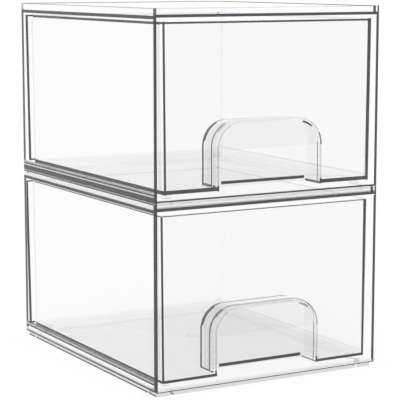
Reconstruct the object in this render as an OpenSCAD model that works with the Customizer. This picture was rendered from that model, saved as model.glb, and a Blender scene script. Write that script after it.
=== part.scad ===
// Two clear stackable boxes, one on the other, each with a pull-out drawer.
// The drawer front has a finger pocket: an arch moulded inwards, open at the
// front and underneath, with a lip across its top to pull on.
// Axes: +X to the right, the drawers pull out towards -Y, +Z up. The origin is
// the middle of the lower case's feet, on the surface they stand on.

/* [Case] */
// Outer width of a case
case_w = 236; // [200:1:320]
// Outer depth of a case, front to back
case_d = 286; // [220:1:340]
// Height from the bottom of the walls to the top of the rim, one stacking step
case_h = 168.5; // [130:0.5:220]
// Thickness of the side and back walls
wall_t = 2.4; // [1.6:0.1:3]
// Thickness of the case floor
floor_t = 2.4; // [1.6:0.1:4]
// Thickness of the top panel
top_t = 2.4; // [1.6:0.1:4]
// Radius of the upright outer corners at the back
rear_r = 3.2; // [3.1:0.1:8]
// Radius of the upright outer corners at the front
front_r = 1.2; // [0.6:0.1:1.5]
// Radius of the long outer edges under the case
under_r = 2.0; // [0.5:0.1:2.2]

/* [Stacking] */
// Height of the rim above the top panel
rim_h = 5.7; // [4.5:0.1:12]
// Height of the feet under the case floor
foot_h = 4.2; // [1:0.1:4.4]
// Width of the foot ribs
foot_w = 6.2; // [3:0.1:12]
// Clearance between the feet and the inside of the rim they nest in
foot_clear = 0.6; // [0.3:0.1:1.2]
// Distance from a case corner to the gap that ends its corner foot
foot_corner = 19; // [15:0.5:30]
// Width of the gaps between the corner feet and the side ribs
foot_gap = 2; // [1:0.5:10]

/* [Drawer] */
// Thickness of the drawer walls and of the drawer front
drawer_wall = 2.3; // [1.6:0.1:3]
// Thickness of the drawer floor
drawer_floor = 2.8; // [1.6:0.1:4]
// Gap between the drawer's top edge and each side wall of the case
side_gap = 5.2; // [1:0.1:10]
// Gap between the drawer's top edge and the back wall of the case
back_gap = 1.0; // [0.5:0.1:5]
// Gap between the drawer's top edge and the top panel
top_gap = 3.4; // [1:0.1:8]
// Height of the drawer's underside above the case floor
under_gap = 4.6; // [2:0.1:8]
// How far the closed drawer front stands behind the case front
front_set = 3.3; // [0.5:0.1:8]
// Lean of each side and of the back over the drawer's height
draft = 1.1; // [0.2:0.1:3]
// Radius of the drawer's upright outer corners
drawer_r = 3.4; // [3.2:0.1:10]

/* [Finger pocket] */
// Outer width of the pocket
pocket_w = 111.4; // [80:0.2:130]
// Height of the pocket's outer top above the drawer's underside
pocket_h = 61; // [45:0.5:80]
// Depth from the drawer front to the outer face of the pocket's back wall
pocket_d = 26.5; // [16:0.5:40]
// Thickness of the pocket wall
pocket_wall = 2.4; // [1.6:0.1:3]
// Outer radius of the arch's two upper corners
pocket_r = 23; // [10:0.5:30]
// Height of the mouth, from the drawer's underside to the lip
mouth_h = 36.5; // [25:0.5:40]
// Distance from the drawer front to the front of the bead round the arch
bead_y = 7.6; // [4:0.1:12]
// Width of the bead
bead_w = 1.8; // [0.8:0.1:3]
// How far the bead stands out of the arch
bead_out = 0.7; // [0.3:0.1:1.5]

/* [Glide pads] */
// Diameter of a glide pad
pad_d = 10; // [6:0.5:16]
// Clearance between a pad and the case floor
pad_clear = 0.2; // [0.1:0.1:1]
// Distance from the drawer's side to a pad's centre
pad_in_x = 9.3; // [8.2:0.1:20]
// Distance from the drawer's front or back to a pad's centre
pad_in_y = 12; // [8.2:0.1:30]
// Height of the slope round a pad's lower edge
pad_slope = 0.6; // [0.2:0.1:1]

/* [Rest position] */
// How far the upper drawer stands open
upper_open = 3.3; // [0:0.1:200]
// How far the lower drawer stands open
lower_open = 0; // [0:0.1:200]

/* [Hidden] */
$fn = 64;
corner_fn = 32;               // facets round a drawer corner
least_r = 0.2;                // smallest radius of a foot's corner
past = 1;                     // how far a cut runs past the face it goes through
thin = 0.2;                   // height of the slices that a drawer's shape spans
step_z = case_h;              // one unit above the other
half_w = case_w / 2;
half_d = case_d / 2;
panel_top = foot_h + case_h - rim_h;
panel_z = panel_top - top_t;
floor_z = foot_h + floor_t;
drawer_z = floor_z + under_gap;
drawer_top = panel_z - top_gap;
drawer_h = drawer_top - drawer_z;
drawer_half = half_w - wall_t - side_gap;
drawer_front = -half_d + front_set;
drawer_back = half_d - wall_t - back_gap;
foot_in = wall_t + foot_clear;
pad_h = under_gap - pad_clear;

// Outline of a case seen from above: small radii in front, larger ones behind.
module plan(w, d, rf, rb) {
    translate([-w / 2, -d / 2 + rf]) square([w, d - rf - rb]);
    translate([-w / 2 + rf, -d / 2]) square([w - 2 * rf, d / 2]);
    translate([-w / 2 + rb, 0]) square([w - 2 * rb, d / 2]);
    for (s = [-1, 1]) {
        translate([s * (w / 2 - rf), -d / 2 + rf]) circle(rf);
        translate([s * (w / 2 - rb), d / 2 - rb]) circle(rb);
    }
}

// Outline seen from the front, with the two long lower edges rounded.
module elevation() {
    translate([-half_w, foot_h + under_r]) square([case_w, case_h - under_r]);
    translate([-half_w + under_r, foot_h]) square([case_w - 2 * under_r, case_h]);
    for (s = [-1, 1]) translate([s * (half_w - under_r), foot_h + under_r]) circle(under_r);
}

// A ring of ribs under the floor that nests in the rim below, parted near each
// corner into an L-shaped corner foot and the rib between two of them.
module feet() {
    w = case_w - 2 * foot_in;
    d = case_d - 2 * foot_in;
    linear_extrude(foot_h + past / 2) difference() {
        plan(w, d, front_r, max(rear_r - foot_in, least_r));
        square([w - 2 * foot_w, d - 2 * foot_w], center = true);
        for (s = [-1, 1]) {
            translate([s * (half_w - foot_corner), 0]) square([foot_gap, case_d], center = true);
            translate([0, s * (half_d - foot_corner)]) square([case_w, foot_gap], center = true);
        }
    }
}

// One case: floor, sides, back, top panel and rim in one moulding, open in front.
module case_shell() {
    difference() {
        intersection() {
            translate([0, 0, foot_h]) linear_extrude(case_h) plan(case_w, case_d, front_r, rear_r);
            rotate([90, 0, 0]) linear_extrude(case_d + 2 * past, center = true) elevation();
        }
        // the space for the drawer
        translate([-half_w + wall_t, -half_d - past, floor_z])
            cube([case_w - 2 * wall_t, case_d + past - wall_t, panel_z - floor_z]);
        // the tray inside the rim
        translate([-half_w + wall_t, -half_d + wall_t, panel_top])
            cube([case_w - 2 * wall_t, case_d - 2 * wall_t, rim_h + past]);
    }
    feet();
}

// A drawer's block, drawn in by a wall thickness, with its sides and back leaning.
module drawer_block(t, z0, z1) {
    r = drawer_r - t;
    hull() for (z = [z0, z1 - thin], s = [-1, 1]) {
        lean = draft * (1 - (z - drawer_z) / drawer_h);
        x = s * (drawer_half - lean - t - r);
        translate([x, drawer_front + t + r, z]) cylinder(h = thin, r = r, $fn = corner_fn);
        translate([x, drawer_back - lean - t - r, z]) cylinder(h = thin, r = r, $fn = corner_fn);
    }
}

// The arch seen from the front, standing on the drawer's underside.
module arch(w, h, r) {
    translate([-w / 2, -past]) square([w, h - r + past]);
    translate([-w / 2 + r, 0]) square([w - 2 * r, h]);
    for (s = [-1, 1]) translate([s * (w / 2 - r), h - r]) circle(r);
}

// The arch from y0 to y1 behind the drawer front, grown by g.
module arch_block(g, y0, y1) {
    translate([0, drawer_front + y1, drawer_z]) rotate([90, 0, 0]) linear_extrude(y1 - y0)
        arch(pocket_w + 2 * g, pocket_h + g, pocket_r + g);
}

// One drawer, closed: walls, floor, finger pocket and lip in one moulding.
module drawer_shell() {
    difference() {
        union() {
            difference() {
                drawer_block(0, drawer_z, drawer_top);
                drawer_block(drawer_wall, drawer_z + drawer_floor, drawer_top + past);
            }
            intersection() {
                union() {
                    arch_block(0, drawer_wall / 2, pocket_d);
                    arch_block(bead_out, bead_y, bead_y + bead_w);
                }
                translate([-half_w, -half_d, drawer_z]) cube([case_w, case_d, drawer_h]);
            }
        }
        // the hollow of the pocket, behind the lip and through the floor
        arch_block(-pocket_wall, drawer_wall, pocket_d - pocket_wall);
        // the mouth, through the drawer front under the lip
        intersection() {
            arch_block(-pocket_wall, -past, drawer_wall + past);
            translate([-half_w, -half_d - past, drawer_z - past])
                cube([case_w, case_d, mouth_h + past]);
        }
    }
}

// A round pad under the drawer floor, at side sx and end sy.
module pad(sx, sy) {
    x = sx * (drawer_half - draft - pad_in_x);
    y = sy < 0 ? drawer_front + pad_in_y : drawer_back - draft - pad_in_y;
    translate([x, y, floor_z + pad_clear]) {
        translate([0, 0, pad_slope]) cylinder(h = pad_h - pad_slope, d = pad_d);
        cylinder(h = pad_slope, r1 = pad_d / 2 - pad_slope, r2 = pad_d / 2);
    }
}

module at_lower() { translate([0, -lower_open, 0]) children(); }
module at_upper() { translate([0, -upper_open, step_z]) children(); }

module lower_case() { color([0.93, 0.94, 0.95, 0.35]) case_shell(); }
module upper_case() { color([0.93, 0.94, 0.95, 0.35]) translate([0, 0, step_z]) case_shell(); }
module lower_drawer() { color([0.90, 0.91, 0.93, 0.35]) at_lower() drawer_shell(); }
module upper_drawer() { color([0.90, 0.91, 0.93, 0.35]) at_upper() drawer_shell(); }
module lower_pad(sx, sy) { color([0.88, 0.89, 0.90, 0.5]) at_lower() pad(sx, sy); }
module upper_pad(sx, sy) { color([0.88, 0.89, 0.90, 0.5]) at_upper() pad(sx, sy); }

lower_case();
upper_case();
lower_drawer();
upper_drawer();
lower_pad(-1, -1);  // lower_pad_front_left
lower_pad(1, -1);  // lower_pad_front_right
lower_pad(-1, 1);  // lower_pad_rear_left
lower_pad(1, 1);  // lower_pad_rear_right
upper_pad(-1, -1);  // upper_pad_front_left
upper_pad(1, -1);  // upper_pad_front_right
upper_pad(-1, 1);  // upper_pad_rear_left
upper_pad(1, 1);  // upper_pad_rear_right
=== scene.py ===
import math
import bpy, bmesh
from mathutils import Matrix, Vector


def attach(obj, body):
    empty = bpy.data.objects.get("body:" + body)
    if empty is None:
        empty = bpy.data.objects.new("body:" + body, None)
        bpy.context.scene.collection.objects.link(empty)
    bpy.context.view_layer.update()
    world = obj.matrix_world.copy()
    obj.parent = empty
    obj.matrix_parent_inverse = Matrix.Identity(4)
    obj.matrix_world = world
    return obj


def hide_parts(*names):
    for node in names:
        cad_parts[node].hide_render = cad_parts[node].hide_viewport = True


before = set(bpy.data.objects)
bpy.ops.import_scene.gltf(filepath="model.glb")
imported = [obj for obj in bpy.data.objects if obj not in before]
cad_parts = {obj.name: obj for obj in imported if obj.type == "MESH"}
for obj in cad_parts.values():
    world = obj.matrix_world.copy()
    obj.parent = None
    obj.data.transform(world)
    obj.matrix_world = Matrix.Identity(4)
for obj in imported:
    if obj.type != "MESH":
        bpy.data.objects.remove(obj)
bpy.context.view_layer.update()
mm = 0.001
near = 0.1  # mm: a face whose middle is this close to a size lies on it
tiny = 0.02  # mm: the same for a face that the CAD makes exactly flat
# how much of a face's direction runs along one axis
fully, nearly, mostly, partly, slightly = 0.999, 0.9, 0.5, 0.1, 0.03
print("frame loaded")


def hexToLinear(code):
    parts = [int(code[i:i + 2], 16) / 255 for i in (0, 2, 4)]
    return [p / 12.92 if p <= 0.04045 else ((p + 0.055) / 1.055) ** 2.4 for p in parts] + [1.0]


def addNode(tree, kind, settings={}, links={}):
    node = tree.nodes.new(kind)
    for name, value in settings.items():
        if isinstance(name, int) or name in node.inputs:
            node.inputs[name].default_value = value  # a socket's own value
        else:
            setattr(node, name, value)
    for name, source in links.items():
        tree.links.new(source, node.inputs[name])
    return node


# camera: solved from the corners of both boxes in the photograph
photoCamera = {"place": (-0.7425, -1.3168, 0.3694), "yaw": 29.702, "pitch": 8.249, "lens": 139.94,
               "sensor": 36, "clip": (0.05, 100)}
cameraData = bpy.data.cameras.new("photoCamera")
cameraData.lens, cameraData.sensor_width = photoCamera["lens"], photoCamera["sensor"]
cameraData.clip_start, cameraData.clip_end = photoCamera["clip"]
camera = bpy.data.objects.new("photoCamera", cameraData)
bpy.context.scene.collection.objects.link(camera)
camera.location = photoCamera["place"]
camera.rotation_euler = (math.radians(90 - photoCamera["pitch"]), 0, -math.radians(photoCamera["yaw"]))
bpy.context.scene.camera = camera

# light: a bright room from all sides and one very soft lamp high in front, to the left
studio = {"room": 0.72, "lamp": 0.85, "lampSpread": 50, "lampTurn": (38, 0, -52),
          "floorGrey": "707070", "floorLift": 0.855, "floorReach": 40}
white = (1, 1, 1, 1)


def showsBackground(tree):
    # 1 for the rays that show what is behind the object, 0 for those that only light it
    rays = addNode(tree, "ShaderNodeLightPath").outputs
    either = {"operation": "MAXIMUM"}
    seen = addNode(tree, "ShaderNodeMath", either, {0: rays["Is Camera Ray"], 1: rays["Is Transmission Ray"]})
    shown = addNode(tree, "ShaderNodeMath", either, {0: seen.outputs[0], 1: rays["Is Glossy Ray"]})
    return shown.outputs[0]


world = bpy.data.worlds.new("studioRoom")
bpy.context.scene.world = world
world.use_nodes = True
tree = world.node_tree
tree.nodes.clear()
shown = showsBackground(tree)
roomLight = addNode(tree, "ShaderNodeBackground", {"Color": white, "Strength": studio["room"]})
backdrop = addNode(tree, "ShaderNodeBackground", {"Color": white, "Strength": 1.0})
blend = addNode(tree, "ShaderNodeMixShader", {}, {0: shown, 1: roomLight.outputs[0], 2: backdrop.outputs[0]})
addNode(tree, "ShaderNodeOutputWorld", {}, {"Surface": blend.outputs[0]})

lampData = bpy.data.lights.new("softLamp", "SUN")
lampData.energy, lampData.angle = studio["lamp"], math.radians(studio["lampSpread"])
lamp = bpy.data.objects.new("softLamp", lampData)
lamp.rotation_euler = [math.radians(a) for a in studio["lampTurn"]]
bpy.context.scene.collection.objects.link(lamp)

# floor: pale painted board that reads white to the camera and keeps the shadow
floorMesh = bpy.data.meshes.new("floorBoard")
reach = studio["floorReach"]
corners = [(-reach, -reach, 0), (reach, -reach, 0), (reach, reach, 0), (-reach, reach, 0)]
floorMesh.from_pydata(corners, [], [(0, 1, 2, 3)])
floorBoard = bpy.data.objects.new("floorBoard", floorMesh)
bpy.context.scene.collection.objects.link(floorBoard)
floorPaint = bpy.data.materials.new("floorPaint")
floorPaint.use_nodes = True
tree = floorPaint.node_tree
tree.nodes.clear()
shown = showsBackground(tree)
lift = addNode(tree, "ShaderNodeMath", {"operation": "MULTIPLY", 1: studio["floorLift"]}, {0: shown})
paint = addNode(tree, "ShaderNodeBsdfDiffuse", {"Color": hexToLinear(studio["floorGrey"])})
glow = addNode(tree, "ShaderNodeEmission", {"Color": white}, {"Strength": lift.outputs[0]})
total = addNode(tree, "ShaderNodeAddShader", {}, {0: paint.outputs[0], 1: glow.outputs[0]})
addNode(tree, "ShaderNodeOutputMaterial", {}, {"Surface": total.outputs[0]})
floorMesh.materials.append(floorPaint)
print("camera, light and floor made")

# clear polystyrene, injection moulded and polished: a panel shows only as a faint veil; the front, floor,
# plate, base and pocket looks are the same plastic made denser and greyer as painted shade, and the dark,
# grey, pale, faint and haze looks are lines of painted shade, drawn where cut ends and plates seen edge on
# show dark, the faint one also drawing the gate mark's ring; wave is the distance in mm over which the flow
# of the melt left the plastic uneven
clearLooks = {
    "clearPanel": {"tint": "eceef0", "solid": 0.009, "rough": 0.04, "wave": 60, "bump": 0.02},
    "clearFront": {"tint": "e4e6e9", "solid": 0.085, "rough": 0.05, "wave": 60, "bump": 0.02},
    "clearFloor": {"tint": "d4d5d9", "solid": 0.150, "rough": 0.06, "wave": 50, "bump": 0.02},
    "clearPlate": {"tint": "dcdee2", "solid": 0.060, "rough": 0.08, "wave": 40, "bump": 0.03},
    "clearBase": {"tint": "dcdee2", "solid": 0.030, "rough": 0.08, "wave": 40, "bump": 0.03},
    "clearPocket": {"tint": "d8d6de", "solid": 0.105, "rough": 0.06, "wave": 30, "bump": 0.03},
    "darkEnd": {"tint": "5e5f62", "solid": 0.97, "inside": 0.020, "rough": 0.20, "wave": 9, "bump": 0.05},
    "greyEnd": {"tint": "5c5d60", "solid": 0.86, "inside": 0.020, "rough": 0.18, "wave": 9, "bump": 0.05},
    "paleEnd": {"tint": "56575a", "solid": 0.55, "inside": 0.015, "rough": 0.18, "wave": 9, "bump": 0.05},
    "faintEnd": {"tint": "6e6f72", "solid": 0.30, "inside": 0.015, "rough": 0.12, "wave": 9, "bump": 0.05},
    "hazeEnd": {"tint": "8c8d90", "solid": 0.15, "inside": 0.010, "rough": 0.12, "wave": 9, "bump": 0.05},
    "clearPad": {"tint": "97999d", "solid": 0.07, "rough": 0.35, "wave": 4, "bump": 0.10},
}
lookOrder = list(clearLooks)
# shared by all: how much a polished face mirrors and how little the lines of painted shade mirror, so that
# they stay dark, how far the flow varies them, and the height of its ripples in metres
polystyrene = {"index": 1.59, "gloss": 0.5, "shadeLineGloss": 0.12, "polish": (0.8, 1.3), "shade": (0.94, 1.0),
               "ripple": 0.0004, "flow": {"Detail": 2.0, "Roughness": 0.4}}


def clearPlastic(name, look):
    p = polystyrene
    material = bpy.data.materials.new("polystyrene" + name[0].upper() + name[1:])
    material.use_nodes = True
    tree = material.node_tree
    tree.nodes.clear()
    place = addNode(tree, "ShaderNodeTexCoord").outputs["Object"]
    waves = {"Scale": 1 / (look["wave"] * mm), **p["flow"]}
    flow = addNode(tree, "ShaderNodeTexNoise", waves, {"Vector": place}).outputs["Fac"]
    smooth, dull = (look["rough"] * part for part in p["polish"])
    polish = addNode(tree, "ShaderNodeMapRange", {"To Min": smooth, "To Max": dull}, {"Value": flow})
    dim, full = p["shade"]
    shade = addNode(tree, "ShaderNodeMapRange", {"To Min": dim, "To Max": full}, {"Value": flow})
    multiply = {"data_type": "RGBA", "blend_type": "MULTIPLY", 0: 1.0, 6: hexToLinear(look["tint"])}
    colour = addNode(tree, "ShaderNodeMix", multiply, {7: shade.outputs[0]})
    bumps = {"Strength": look["bump"], "Distance": p["ripple"]}
    ripple = addNode(tree, "ShaderNodeBump", bumps, {"Height": flow})
    links = {"Base Color": colour.outputs[2], "Roughness": polish.outputs[0], "Normal": ripple.outputs[0]}
    isShadeLine = "inside" in look
    if isShadeLine:  # lines of painted shade: dark seen from outside the wall, all but clear seen from within it
        facing = addNode(tree, "ShaderNodeNewGeometry")
        bySide = addNode(tree, "ShaderNodeMapRange", {"To Min": look["solid"], "To Max": look["inside"]},
                         {"Value": facing.outputs["Backfacing"]})
        links["Alpha"] = bySide.outputs[0]
    gloss = p["shadeLineGloss" if isShadeLine else "gloss"]
    finish = {"IOR": p["index"], "Specular IOR Level": gloss, "Alpha": look["solid"]}
    plastic = addNode(tree, "ShaderNodeBsdfPrincipled", finish, links)
    addNode(tree, "ShaderNodeOutputMaterial", {}, {"Surface": plastic.outputs[0]})
    return material


clearMaterials = {name: clearPlastic(name, look) for name, look in clearLooks.items()}
print("clear plastic mixed")

flatWithin = 0.4  # degrees between triangles that are one face
sharpFrom = {"moulding": 24, "pad": 35}  # degrees between faces that meet in an edge
sameSpot = {"copy": 2e-6, "cut": 1e-7, "pad": 1e-5}  # metres between points that are one


def copyOfNode(nodeName):
    shape = bmesh.new()
    shape.from_mesh(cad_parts[nodeName].data)
    bmesh.ops.remove_doubles(shape, verts=shape.verts, dist=sameSpot["copy"])
    limit = math.radians(flatWithin)
    bmesh.ops.dissolve_limit(shape, angle_limit=limit, verts=shape.verts, edges=shape.edges)
    shape.normal_update()
    return shape


def cutAt(shape, axis, places, wanted, lean=0, level=0):
    # splits the wanted faces across one axis, where a line on the moulding begins or ends; a leaning cut
    # moves along that axis by lean for each mm above the level
    for place in places:
        point, normal = Vector((0, 0, level * mm)), Vector((0, 0, -lean))
        point[axis], normal[axis] = place * mm, 1
        parts = set(f for f in shape.faces if wanted(f.calc_center_median() / mm, f.normal))
        for f in list(parts):
            parts.update(f.edges)
            parts.update(f.verts)
        spot = sameSpot["cut"]
        bmesh.ops.bisect_plane(shape, geom=list(parts), dist=spot, plane_co=point, plane_no=normal)
        shape.normal_update()


def finishPiece(shape, name, nodeName, body, lookOf):
    shape.normal_update()
    mesh = bpy.data.meshes.new(name)
    for f in shape.faces:
        f.material_index = lookOrder.index(lookOf(f.calc_center_median() / mm, f.normal))
        f.smooth = True
    openEdges = sum(len(e.link_faces) != 2 for e in shape.edges)
    print(name, len(shape.faces), "faces", openEdges, "open edges")
    shape.to_mesh(mesh)
    shape.free()
    mesh.set_sharp_from_angle(angle=math.radians(sharpFrom["moulding"]))
    for look in lookOrder:
        mesh.materials.append(clearMaterials[look])
    piece = bpy.data.objects.new(name, mesh)
    bpy.context.scene.collection.objects.link(piece)
    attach(piece, body)
    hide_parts(nodeName)


def bandAt(z, bands, rest):
    for low, high, look in bands:
        if low < z < high:
            return look
    return rest


# one case, in mm above its base line, which lies 2 mm under the walls and 2.2 mm above the feet's bottom
# the strips, frontBand, rimEdge and sill say where lines of painted shade lie, in mm
caseSizes = {"baseLine": 2.2, "halfWidth": 118, "halfDepth": 143, "wall": 2.4, "under": 2.0, "floorTop": 4.4,
             "panelUnder": 162.4, "panelTop": 164.8, "rimTop": 170.5, "step": 168.5, "frontBand": 1.4,
             "feetInset": 8, "roundSide": 2.1, "roundBack": 3.3, "rearStrip": 7.6, "backStrip": 3.3,
             "rimStrip": 6.6, "rimEdge": 0.75, "farStrip": 3.8, "sill": 6.0, "innerStrip": 1.4,
             "sideStrip": {"lower": 2.4, "upper": 1.3}}
# where lines of painted shade lie: from, to and look of each band, drawn where each plate's edge shows as a
# line on the sides and in front
caseSides = {
    "lower": [(-2.2, -0.8, "darkEnd"), (-0.8, 2.6, "faintEnd"), (2.6, 4.4, "darkEnd"), (4.4, 5.2, "paleEnd"),
              (5.2, 6.6, "hazeEnd"), (8.8, 10.3, "darkEnd"), (10.3, 12.2, "paleEnd"), (12.2, 13.8, "greyEnd"),
              (162.2, 165.1, "darkEnd"), (165.1, 166.0, "faintEnd"), (166.0, 169.3, "hazeEnd"),
              (169.3, 170.5, "darkEnd")],
    "upper": [(0, 2.0, "faintEnd"), (2.0, 7.5, "darkEnd"), (7.5, 8.6, "faintEnd"), (8.6, 10.1, "darkEnd"),
              (10.1, 12.0, "paleEnd"), (161.0, 164.0, "darkEnd"), (169.8, 170.5, "paleEnd")],
}
caseFronts = {
    "lower": [(-2.2, 2.0, "faintEnd"), (2.0, 2.9, "greyEnd"), (2.9, 3.8, "hazeEnd"), (3.8, 4.6, "faintEnd"),
              (163.5, 166.2, "darkEnd"), (166.2, 167.3, "paleEnd"), (167.3, 170.5, "hazeEnd")],
    "upper": [(0, 2.0, "hazeEnd"), (2.8, 5.0, "darkEnd"), (5.9, 6.7, "faintEnd"), (162.3, 165.0, "darkEnd"),
              (169.9, 170.5, "faintEnd")],
}
# a dark upright line of painted shade in the far left corner, on the inside of the back wall, with a short
# end above and below that reaches towards the drawer's own lines
rearLines = {
    "lower": {"x": -113.0, "lean": -0.0131, "half": 1.25, "foot": (9.8, 11.4), "head": (157.4, 158.8),
              "reach": -108},
    "upper": {"x": -110.8, "lean": -0.0100, "half": 1.25, "foot": (11.0, 12.6), "head": (157.0, 158.6),
              "reach": -105},
}


def makeCase(unit, base):
    s, r = caseSizes, rearLines[unit]
    shape = copyOfNode(unit + "_case")
    inner = s["halfWidth"] - s["wall"]
    front, back = -s["halfDepth"], s["halfDepth"]
    foot, head = r["foot"], r["head"]
    isSide = lambda p, n: abs(n.z) < nearly and (abs(n.x) > partly or n.y > partly)
    isFront = lambda p, n: n.y < -partly and abs(n.z) < mostly
    isAcross = lambda p, n: abs(n.x) > mostly
    isRear = lambda p, n: n.y > mostly
    onInside = lambda p, n: isAcross(p, n) and abs(abs(p.x) - inner) < 2 * near
    onOutside = lambda p, n: isAcross(p, n) and abs(p.x) > s["halfWidth"] - 2 * near
    onRim = lambda p, n: isAcross(p, n) and p.z - base > s["panelTop"]
    onFloor = lambda p, n: n.z > mostly and p.z - base < s["floorTop"] + near
    onBack = lambda p, n: (n.y < -nearly and p.y > back - s["wall"] - near
                           and s["floorTop"] < p.z - base < s["panelUnder"])
    inCorner = lambda p, n: onBack(p, n) and p.x < r["reach"]
    beside = lambda p, n: inCorner(p, n) and foot[0] < p.z - base < head[1]
    for bands, wanted in ((caseSides[unit], isSide), (caseFronts[unit], isFront)):
        cutAt(shape, 2, sorted({base + z for band in bands for z in band[:2]}), wanted)
    cutAt(shape, 2, [base + s[plate] for plate in ("floorTop", "panelUnder", "panelTop")], isSide)
    cutAt(shape, 0, [-inner, inner], isFront)
    cutAt(shape, 1, [back - s["rearStrip"]], isAcross)
    cutAt(shape, 0, [s["backStrip"] - s["halfWidth"], s["halfWidth"] - s["backStrip"]], isRear)
    cutAt(shape, 1, [front + s["rimStrip"]], onRim)
    cutAt(shape, 1, [front + s["sill"]], onFloor)
    sideStrip, innerStrip = front + s["sideStrip"][unit], front + s["innerStrip"]
    farStrip = back - s["farStrip"]
    cutAt(shape, 1, [innerStrip, farStrip], onInside)
    cutAt(shape, 1, [sideStrip], onOutside)
    cutAt(shape, 0, [r["reach"]], onBack)
    cutAt(shape, 2, [base + z for z in foot + head], inCorner)
    cutAt(shape, 0, [r["x"] - r["half"], r["x"] + r["half"]], beside, r["lean"], base)

    def flatLook(p, z):
        if abs(z - s["floorTop"]) < near and p.y < front + s["sill"]:
            return "hazeEnd"  # a line of painted shade on the floor's front end, seen a little from above
        if z > s["rimTop"] - near:
            return "paleEnd" if unit == "upper" else "faintEnd"
        return "clearBase" if z < s["floorTop"] + near else "clearPlate"

    def frontLook(p, z):
        if abs(p.x) > inner - near and z > s["under"]:
            if z > s["panelTop"] and unit == "upper" and p.x < 0:
                return "greyEnd"
            return "darkEnd"  # lines of painted shade on the walls' own front ends
        return bandAt(z, caseFronts[unit], "clearPanel")

    # bands of painted shade on the outer faces, and lines of painted shade up the rear corners
    def outerLook(p, z):
        look = bandAt(z, caseSides[unit], "clearPanel")
        atRear = p.y > back - s["rearStrip"] and abs(p.x) > s["halfWidth"] - s["backStrip"]
        if atRear and look == "clearPanel":
            return "darkEnd" if s["under"] < z < s["panelTop"] else "paleEnd"
        return look

    # each face's look: the dark, grey, pale, faint and haze looks are lines of painted shade
    def lookOf(p, n):
        z = p.z - base
        if abs(n.z) > nearly:
            return flatLook(p, z)
        if n.y < -partly and p.y < front + s["frontBand" if z > s["under"] else "feetInset"]:
            return frontLook(p, z)
        sideOut = abs(n.x) > partly and abs(p.x) > s["halfWidth"] - s["roundSide"]
        backOut = n.y > partly and p.y > back - s["roundBack"]
        if sideOut and p.y < sideStrip and z > s["under"]:
            return "darkEnd"  # a line of painted shade on the outside of the wall's front end
        if z < s["under"] and n.x * p.x <= 0 and n.y * p.y <= 0:
            return "clearPlate"  # the feet's inner sides
        # the painted dark upright and its short ends
        if beside(p, n):
            inward = p.x - r["x"] - r["lean"] * z
            if abs(inward) < r["half"] or inward > 0 and not foot[1] < z < head[0]:
                return "darkEnd"
        if sideOut or backOut or z < s["under"]:
            return outerLook(p, z)
        if onRim(p, n) and p.y < front + s["rimStrip"]:
            return "darkEnd"  # a line of painted shade in the inside corner of the rim
        if onInside(p, n) and p.y < innerStrip:
            return "darkEnd"  # a line of painted shade on the inside of the wall's front end
        if onInside(p, n) and p.y > farStrip and unit == "upper":
            return "hazeEnd"  # painted shade on the inside of the far corner
        # painted shade along the upper rim's top edge
        if z > s["rimTop"] - s["rimEdge"] and unit == "upper":
            return "greyEnd"
        return "clearPanel"

    finishPiece(shape, unit + "Case", unit + "_case", unit + "_case", lookOf)


# one drawer, in mm above the same base line: its outer faces lean in by less than the tapers, the middles
# of its inner side faces lie beyond innerSide, those near the floor beyond innerFoot, and the strips of
# painted shade run from its corners
drawerSizes = {"under": 9.0, "floorTop": 11.8, "front": -139.7, "back": 139.6, "upperOpen": 3.3,
               "halfTop": 110.4, "cornerRadius": 3.4, "sideTaper": 1.7, "backTaper": 1.3, "innerSide": 107,
               "innerFoot": 105, "frontBand": 0.5, "rearStrip": 7.0, "backStrip": 3.5, "sideStrip": 9.0}
# cornerLeft, cornerRight and farCorner say how far round a corner a line of painted shade goes, as the face
# direction's y
farCorner = (-0.9, -0.6)
# where each drawer's lines of painted shade lie, in mm above the base line, and their looks; the glint is a
# painted reflection drawn as a dark stroke
drawerLines = {
    "lower": {"bottom": (9.0, 11.6), "top": (158.0, 159.0), "topLook": "greyEnd", "sideTop": (158.0, 159.0),
              "wallFoot": (12.0, 14.0), "cornerLeft": (-0.90, -0.60), "cornerRight": (-1.0, -0.08),
              "rightStrip": 1.8, "innerStrip": 3.2, "rimLook": "faintEnd", "beadTop": "paleEnd",
              "pocketFloor": (10.2, 13.2), "bend": ("paleEnd", "paleEnd", "faintEnd"), "glint": "paleEnd"},
    "upper": {"bottom": (9.5, 13.0), "top": (156.9, 158.6), "topLook": "darkEnd", "sideTop": (156.4, 158.7),
              "wallFoot": (13.0, 15.0), "cornerLeft": (-0.97, -0.70), "cornerRight": (-1.0, -0.08),
              "rightStrip": 2.2, "innerStrip": 4.4, "rimLook": "paleEnd", "beadTop": "hazeEnd",
              "pocketFloor": (11.4, 14.2), "bend": ("greyEnd", "faintEnd", "hazeEnd"), "glint": "darkEnd"},
}
# where the plastic entered, in the middle of the drawer floor
gateMark = {"outer": 6.2, "inner": 4.4, "facets": 28}
# the finger pocket, an arch of side walls, top and back moulded behind the drawer front: where its lines of
# painted shade lie in mm behind the front, and the bends in degrees round from where the arch leaves its
# upright sides
pocketSizes = {"core": 32.7, "spring": 47.0, "outer": 23.0, "top": 71.0, "depth": 26.5, "wall": 2.4,
               "halfWidth": 57, "around": 60, "mouthTop": 45.5, "tick": 14.3, "floorEnds": (-37.2, 52.2),
               "beadLine": (7.6, 9.4), "bendLine": (6.0, 7.6), "farBend": (21.6, 23.5),
               "farLine": (23.5, 26.5), "sideLine": (3.4, 4.6), "lipLine": (2.6, 6.4)}
# degrees round the bend where the pocket's lines of painted shade begin and fade
pocketBends = {"fade": 62, "bendFrom": 36, "farFrom": 12, "lip": (50, 89.5)}
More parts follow.
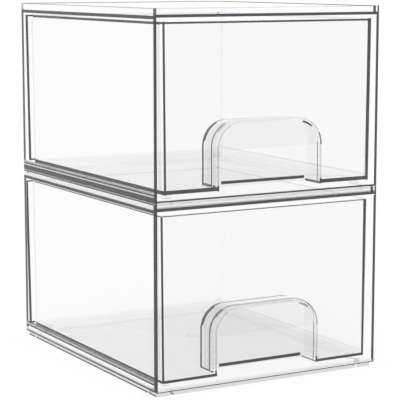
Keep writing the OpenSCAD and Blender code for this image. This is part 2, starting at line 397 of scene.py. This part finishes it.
# the same arch where it meets the front and shows through it, drawn on the front face as a band of painted
# shade, and the glint in the bend on its right, a painted reflection drawn as a dark stroke: fade, bends,
# from and to are degrees round the bend
nearArch = {"halfWidth": 55.3, "top": 70.9, "radius": 25.4, "thick": 1.5, "facets": 14, "fade": 60,
            "bends": (24, 58)}
bendGlint = {"from": 50, "to": 79, "outer": 22.9, "inner": 21.3, "facets": 6}


def archLine(halfWidth, top, radius, facets):
    turns = [math.radians(90 * i / facets) for i in range(facets + 1)]
    core, spring = halfWidth - radius, top - radius
    right = [(core + radius * math.cos(a), spring + radius * math.sin(a)) for a in turns]
    return [(-x, z) for x, z in right] + right[::-1]


def aroundBend(x, z, core, spring):
    # how far a point is from the centre of the arch's bend, and how many degrees up round it
    across, over = max(abs(x) - core, 0), max(z - spring, 0)
    return math.hypot(across, over), math.degrees(math.atan2(over, across))


def openFlat(shape, wanted):
    # takes flat faces out and gives back the edges round them
    faces = set(f for f in shape.faces if wanted(f.calc_center_median() / mm, f.normal))
    outline = [e for e in {e for f in faces for e in f.edges} if sum(f in faces for f in e.link_faces) == 1]
    bmesh.ops.delete(shape, geom=list(faces), context="FACES_ONLY")
    return outline


def fillFlat(shape, edges, normal):
    bmesh.ops.triangle_fill(shape, use_beauty=True, use_dissolve=False, edges=edges, normal=normal)
    shape.normal_update()


def drawArch(shape, base, front):
    # fills the drawer front again, with the outlines of the painted arch band and of the painted glint as
    # edges in it
    a, g, mouthTop = nearArch, bendGlint, pocketSizes["mouthTop"]
    outline = openFlat(shape, lambda p, n: n.y < -fully and abs(p.y - front) < tiny)
    feet = []
    for x in (-a["halfWidth"], a["halfWidth"]):
        for e in outline:
            p, q = (v.co / mm for v in e.verts)
            isLow = max(p.z, q.z) - base < drawerSizes["under"] + tiny
            if isLow and min(p.x, q.x) < x < max(p.x, q.x):
                newEdge, foot = bmesh.utils.edge_split(e, e.verts[0], (x - p.x) / (q.x - p.x))
                outline.append(newEdge)
                feet.append(foot)
                break
    onMouth = [v for v in {v for e in outline for v in e.verts} if abs(v.co.z / mm - base - mouthTop) < tiny]
    mouth = sorted(onMouth, key=lambda v: v.co.x)
    newPoint = lambda x, z: shape.verts.new((x * mm, front * mm, (z + base) * mm))
    thick = a["thick"]
    inner = archLine(a["halfWidth"] - thick, a["top"] - thick, a["radius"] - thick, a["facets"])
    inner = [point for point in inner if point[1] > mouthTop + near]
    outer = archLine(a["halfWidth"], a["top"], a["radius"], a["facets"])
    for ends, points in ((feet, outer), ((mouth[0], mouth[-1]), inner)):
        row = [ends[0]] + [newPoint(x, z) for x, z in points] + [ends[1]]
        outline += [shape.edges.new(pair) for pair in zip(row, row[1:])]
    core, spring = a["halfWidth"] - a["radius"], a["top"] - a["radius"]
    step = (g["to"] - g["from"]) / g["facets"]
    turns = [math.radians(g["from"] + step * i) for i in range(g["facets"] + 1)]
    points = [(g["outer"], t) for t in turns] + [(g["inner"], t) for t in turns[::-1]]
    row = [newPoint(core + r * math.cos(t), spring + r * math.sin(t)) for r, t in points]
    outline += [shape.edges.new(pair) for pair in zip(row, row[1:] + row[:1])]
    fillFlat(shape, outline, (0, -1, 0))


def drawGate(shape, base, middle):
    # fills the top of the drawer floor again, with a ring in its middle
    g, height = gateMark, base + drawerSizes["floorTop"]
    outline = openFlat(shape, lambda p, n: n.z > fully and abs(p.z - height) < tiny)
    turns = [math.tau * i / g["facets"] for i in range(g["facets"])]
    rings = []
    for radius in (g["outer"], g["inner"]):
        places = [(radius * math.cos(a), middle + radius * math.sin(a)) for a in turns]
        row = [shape.verts.new((x * mm, y * mm, height * mm)) for x, y in places]
        rings.append([shape.edges.new(pair) for pair in zip(row, row[1:] + row[:1])])
    for edges in (outline + rings[0], rings[0] + rings[1], rings[1]):
        fillFlat(shape, edges, (0, 0, 1))


def makeDrawer(unit, base, pull):
    s, k, b, lines, a, g = drawerSizes, pocketSizes, pocketBends, drawerLines[unit], nearArch, bendGlint
    front, back = s["front"] - pull, s["back"] - pull
    tangent, middle = s["halfTop"] - s["cornerRadius"], (front + back) / 2
    sideFrom, rightEdge = s["halfTop"] - s["sideTaper"], tangent - lines["rightStrip"]
    bead, bend, farBend, farLine = k["beadLine"], k["bendLine"], k["farBend"], k["farLine"]
    shape = copyOfNode(unit + "_drawer")
    drawArch(shape, base, front)
    drawGate(shape, base, middle)
    isUpright = lambda p, n: abs(n.z) < mostly
    isAcross = lambda p, n: abs(n.x) > mostly
    isRear = lambda p, n: n.y > mostly
    onFront = lambda p, n: n.y < -nearly and p.y < front + s["frontBand"]
    onBackWall = lambda p, n: n.y < -nearly and abs(p.y - front - k["depth"] + k["wall"]) < near
    inPocket = lambda p, n: (abs(n.y) < mostly and abs(p.x) < k["halfWidth"]
                             and near < p.y - front < k["depth"] + near and p.z - base < k["top"])
    onBead = lambda p, n: (abs(n.y) > nearly and abs(p.x) < k["halfWidth"]
                           and bead[0] - near < p.y - front < bead[1] + near)
    onWalls = lambda p, n: isUpright(p, n) and not inPocket(p, n) and not onBackWall(p, n)
    onOutside = lambda p, n: isAcross(p, n) and abs(p.x) > sideFrom
    cutAt(shape, 2, [base + z for z in lines["bottom"]], onWalls)
    cutAt(shape, 2, [base + z for z in sorted(set(lines["top"] + lines["sideTop"]))], isUpright)
    cutAt(shape, 2, [base + k["tick"]], lambda p, n: onFront(p, n) and abs(p.x) < k["around"])
    cutAt(shape, 0, [rightEdge], onFront)
    cutAt(shape, 1, [front + s["sideStrip"]], onOutside)
    cutAt(shape, 1, [front + lines["innerStrip"]],
          lambda p, n: isAcross(p, n) and s["innerSide"] < abs(p.x) < sideFrom)
    cutAt(shape, 1, [back - s["rearStrip"]], onOutside)
    cutAt(shape, 0, [s["backStrip"] - s["halfTop"], s["halfTop"] - s["backStrip"]], isRear)
    pocketLines = sorted(bead + bend + farBend + farLine + k["sideLine"] + k["lipLine"])
    cutAt(shape, 1, [front + y for y in pocketLines], inPocket)
    cutAt(shape, 2, [base + z for z in lines["pocketFloor"]], lambda p, n: onBackWall(p, n) or inPocket(p, n))
    cutAt(shape, 2, [base + k["spring"]], onBead)
    cutAt(shape, 2, [base + z for z in lines["wallFoot"]],
          lambda p, n: isAcross(p, n) and s["innerFoot"] < abs(p.x) < sideFrom)
    cutAt(shape, 0, list(k["floorEnds"]), onBackWall)

    # the pocket's walls, bends and bead drawn with lines of painted shade where they show dark
    def pocketLook(p, y, z):
        reach, rise = aroundBend(p.x, z, k["core"], k["spring"])
        if reach > k["outer"] - k["wall"] / 2:  # outside of the arch
            if farLine[0] < y:
                return "darkEnd" if rise < b["fade"] else "greyEnd"
            if bead[0] < y < bead[1]:
                return "darkEnd" if rise < b["fade"] else "faintEnd"
            if bend[0] < y < bend[1] and b["bendFrom"] < rise < b["fade"]:
                return "greyEnd"
            if farBend[0] < y < farBend[1] and b["farFrom"] < rise < b["fade"]:
                return "darkEnd"
            return "greyEnd" if z < lines["pocketFloor"][1] else "clearPocket"
        if k["lipLine"][0] < y < k["lipLine"][1] and b["lip"][0] < rise < b["lip"][1]:
            return "darkEnd"
        if k["sideLine"][0] < y < k["sideLine"][1] and z < k["mouthTop"]:
            return "greyEnd"
        return "greyEnd" if z < lines["pocketFloor"][0] else "clearPocket"

    def backWallLook(p, z):
        (low, high), ends = lines["pocketFloor"], k["floorEnds"]
        return "darkEnd" if low < z < high and ends[0] < p.x < ends[1] else "clearPocket"

    # the rim tops get a line of painted shade, the floor its denser look of painted shade and the gate mark a
    # faint ring
    def flatLook(p, n, z):
        if z > s["floorTop"] + near:
            return lines["rimLook"]
        onRing = n.z > 0 and gateMark["inner"] < math.hypot(p.x, p.y - middle) < gateMark["outer"]
        return "faintEnd" if onRing else "clearFloor"

    def insideLook(p, n, y, z):
        if isAcross(p, n) and y < lines["innerStrip"]:
            return "darkEnd"  # a line of painted shade on the inside corner, seen through the front
        isFar = p.y > middle and farCorner[0] < n.y < farCorner[1]
        if isFar and z > s["floorTop"] and unit == "lower":
            return "hazeEnd"  # painted shade on the far corner inside
        if isAcross(p, n) and lines["wallFoot"][0] < z < lines["wallFoot"][1]:
            return "hazeEnd"  # painted shade along the bend where a side rises from the floor
        return "hazeEnd" if z > lines["sideTop"][0] else "clearPanel"

    # the arch band and glint painted on the front face, dark where the pocket shows through
    def archLook(p, z):
        reach, rise = aroundBend(p.x, z, a["halfWidth"] - a["radius"], a["top"] - a["radius"])
        if p.x > 0 and g["inner"] < reach < g["outer"] and g["from"] < rise < g["to"]:
            return lines["glint"]
        if abs(reach - a["radius"] + a["thick"] / 2) > a["thick"] / 2 + near:
            return "clearFront"
        if z < k["tick"]:
            return "darkEnd"
        if p.x < 0 or z < a["top"] - a["radius"]:
            return "faintEnd" if rise < a["fade"] else "hazeEnd"
        return lines["bend"][sum(rise >= turn for turn in a["bends"])]  # the painted shade of this part of it

    def frontLook(p, n, z):
        if lines["top"][0] < z < lines["top"][1]:
            return lines["topLook"]
        if n.y > -fully:  # the rounded corners, with a line of painted shade part way round
            low, high = lines["cornerLeft" if p.x < 0 else "cornerRight"]
            return "darkEnd" if low < n.y < high else "clearPanel"
        return "darkEnd" if p.x > rightEdge else archLook(p, z)

    def lookOf(p, n):
        z, y = p.z - base, p.y - front
        if inPocket(p, n):
            return pocketLook(p, y, z)
        if onBackWall(p, n):
            return backWallLook(p, z)
        if onBead(p, n):  # the raised bead's own two sides, drawn with painted shade
            return "hazeEnd" if z < k["spring"] else lines["beadTop"]
        if abs(n.z) > mostly:
            return flatLook(p, n, z)
        isCorner = abs(n.x) > slightly and abs(n.y) > slightly
        if not (y < near / 2 or isCorner or p.y > back - s["backTaper"] or abs(p.x) > sideFrom):
            return insideLook(p, n, y, z)
        # lines of painted shade along the walls' bottom, top and rear corners
        if lines["bottom"][0] < z < lines["bottom"][1]:
            return "darkEnd"
        if y < s["cornerRadius"] + near and n.y < -slightly:
            return frontLook(p, n, z)
        atRear = p.y > back - s["rearStrip"] and abs(p.x) > s["halfTop"] - s["backStrip"]
        if atRear and (n.y > slightly or abs(p.x) > sideFrom):
            return "hazeEnd"
        if lines["sideTop"][0] < z < lines["sideTop"][1]:
            return "darkEnd"
        return "hazeEnd" if y < s["sideStrip"] and isAcross(p, n) else "clearPanel"

    finishPiece(shape, unit + "Drawer", unit + "_drawer", unit + "_drawer", lookOf)


# glide pads: soft clear discs under each drawer floor near its corners, rounded below, with a shallow dish
glidePads = {"Diameter": 10, "Height": 4.4, "Rounding": 0.9, "Dish": 0.3, "Apart X": 200, "Front Y": -127.7,
             "Rear Y": 126.5, "Top Z": 9.0}
# dish: what the edge of the dish and then its floor keep of the width before
padFacets = {"around": 32, "rounding": 4, "dish": (0.72, 0.86)}


def padTree():
    tree = bpy.data.node_groups.new("glidePadTree", "GeometryNodeTree")
    for name in glidePads:
        tree.interface.new_socket(name=name, in_out="INPUT", socket_type="NodeSocketFloat")
    for name in ("Plastic", "Edge"):
        tree.interface.new_socket(name=name, in_out="INPUT", socket_type="NodeSocketMaterial")
    tree.interface.new_socket(name="Geometry", in_out="OUTPUT", socket_type="NodeSocketGeometry")
    given = addNode(tree, "NodeGroupInput").outputs
    maths, extrude, scale = "ShaderNodeMath", "GeometryNodeExtrudeMesh", "GeometryNodeScaleElements"
    minus, times, faces = {"operation": "SUBTRACT"}, {"operation": "MULTIPLY"}, {"mode": "FACES"}
    half = {**times, 1: 0.5}
    radius = addNode(tree, maths, half, {0: given["Diameter"]}).outputs[0]
    filled = {"fill_type": "NGON", "Vertices": padFacets["around"]}
    disc = addNode(tree, "GeometryNodeMeshCircle", filled, {"Radius": radius}).outputs[0]
    under = addNode(tree, "GeometryNodeFlipFaces", {}, {"Mesh": disc})
    straight = addNode(tree, maths, minus, {0: given["Height"], 1: given["Rounding"]}).outputs[0]
    pad = addNode(tree, extrude, faces, {"Mesh": under.outputs[0], "Offset Scale": straight})
    shape = pad.outputs["Mesh"]
    for i in range(padFacets["rounding"]):  # each ring of the rounded edge sinks less and draws in more
        low, high = (math.radians(90 * j / padFacets["rounding"]) for j in (i, i + 1))
        share = math.sin(high) - math.sin(low)
        sink = addNode(tree, maths, {**times, 1: share}, {0: given["Rounding"]}).outputs[0]
        widths = []
        for turn in (low, high):
            drawn = {"operation": "MULTIPLY_ADD", 1: math.cos(turn) - 1}
            widths.append(addNode(tree, maths, drawn, {0: given["Rounding"], 2: radius}).outputs[0])
        ratio = addNode(tree, maths, {"operation": "DIVIDE"}, {0: widths[1], 1: widths[0]}).outputs[0]
        links = {"Mesh": shape, "Selection": pad.outputs["Top"], "Offset Scale": sink}
        pad = addNode(tree, extrude, faces, links)
        links = {"Geometry": pad.outputs["Mesh"], "Selection": pad.outputs["Top"], "Scale": ratio}
        shape = addNode(tree, scale, {}, links).outputs[0]
    sunk = addNode(tree, maths, {**times, 1: -1.0}, {0: given["Dish"]}).outputs[0]
    for size, sinks in zip(padFacets["dish"], ({}, {"Offset Scale": sunk})):
        links = {"Mesh": shape, "Selection": pad.outputs["Top"], **sinks}
        pad = addNode(tree, extrude, {**faces, "Offset Scale": 0.0}, links)
        links = {"Geometry": pad.outputs["Mesh"], "Selection": pad.outputs["Top"]}
        shape = addNode(tree, scale, {"Scale": size}, links).outputs[0]
    whole = addNode(tree, "GeometryNodeJoinGeometry")
    for part in (shape, disc):
        tree.links.new(part, whole.inputs[0])
    closed = addNode(tree, "GeometryNodeMergeByDistance", {"Distance": sameSpot["pad"]},
                     {"Geometry": whole.outputs[0]})
    deep = addNode(tree, maths, minus, {0: given["Rear Y"], 1: given["Front Y"]}).outputs[0]
    corners = addNode(tree, "GeometryNodeMeshGrid", {"Vertices X": 2, "Vertices Y": 2},
                      {"Size X": given["Apart X"], "Size Y": deep}).outputs["Mesh"]
    both = addNode(tree, maths, {"operation": "ADD"}, {0: given["Rear Y"], 1: given["Front Y"]}).outputs[0]
    middle = addNode(tree, maths, half, {0: both}).outputs[0]
    place = addNode(tree, "ShaderNodeCombineXYZ", {}, {"Y": middle, "Z": given["Top Z"]}).outputs[0]
    moved = addNode(tree, "GeometryNodeTransform", {}, {"Geometry": corners, "Translation": place}).outputs[0]
    four = addNode(tree, "GeometryNodeInstanceOnPoints", {}, {"Points": moved, "Instance": closed.outputs[0]})
    real = addNode(tree, "GeometryNodeRealizeInstances", {}, {"Geometry": four.outputs[0]}).outputs[0]
    paint = "GeometryNodeSetMaterial"
    body = addNode(tree, paint, {}, {"Geometry": real, "Material": given["Plastic"]}).outputs[0]
    bend = addNode(tree, maths, minus, {0: given["Top Z"], 1: straight}).outputs[0]
    position = addNode(tree, "GeometryNodeInputPosition").outputs[0]
    height = addNode(tree, "ShaderNodeSeparateXYZ", {}, {0: position}).outputs["Z"]
    lessThan = {"data_type": "FLOAT", "operation": "LESS_THAN"}
    below = addNode(tree, "FunctionNodeCompare", lessThan, {0: height, 1: bend}).outputs[0]
    done = addNode(tree, paint, {}, {"Geometry": body, "Selection": below, "Material": given["Edge"]})
    addNode(tree, "NodeGroupOutput", {}, {"Geometry": done.outputs[0]})
    return tree


padNodes = padTree()


def makePads(unit, base, pull):
    shift = {"Front Y": -pull, "Rear Y": -pull, "Top Z": base}
    values = {name: (size + shift.get(name, 0)) * mm for name, size in glidePads.items()}
    # the pads' rounded lower edge gets the faint line of painted shade
    values.update({"Plastic": clearMaterials["clearPad"], "Edge": clearMaterials["faintEnd"]})
    seed = bpy.data.objects.new(unit + "PadSeed", bpy.data.meshes.new(unit + "PadSeed"))
    bpy.context.scene.collection.objects.link(seed)
    nodes = seed.modifiers.new("glidePads", "NODES")
    nodes.node_group = padNodes
    for socket in padNodes.interface.items_tree:
        if socket.in_out == "INPUT":
            nodes[socket.identifier] = values[socket.name]
    graph = bpy.context.evaluated_depsgraph_get()
    mesh = bpy.data.meshes.new_from_object(seed.evaluated_get(graph))
    seed.modifiers.remove(nodes)
    bpy.data.objects.remove(seed)
    for f in mesh.polygons:
        f.use_smooth = True
    mesh.set_sharp_from_angle(angle=math.radians(sharpFrom["pad"]))
    piece = bpy.data.objects.new(unit + "GlidePads", mesh)
    bpy.context.scene.collection.objects.link(piece)
    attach(piece, unit + "_drawer")
    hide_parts(*[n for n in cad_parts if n.startswith(unit + "_pad")])


upperBase = caseSizes["baseLine"] + caseSizes["step"]
units = {"lower": (caseSizes["baseLine"], 0), "upper": (upperBase, drawerSizes["upperOpen"])}
for unit, (base, pull) in units.items():
    makeCase(unit, base)
    makeDrawer(unit, base, pull)
    makePads(unit, base, pull)
    print(unit, "unit made")

scene = bpy.context.scene
scene.view_settings.view_transform = "Standard"
scene.cycles.transparent_max_bounces = 96  # a line of sight crosses up to forty clear faces
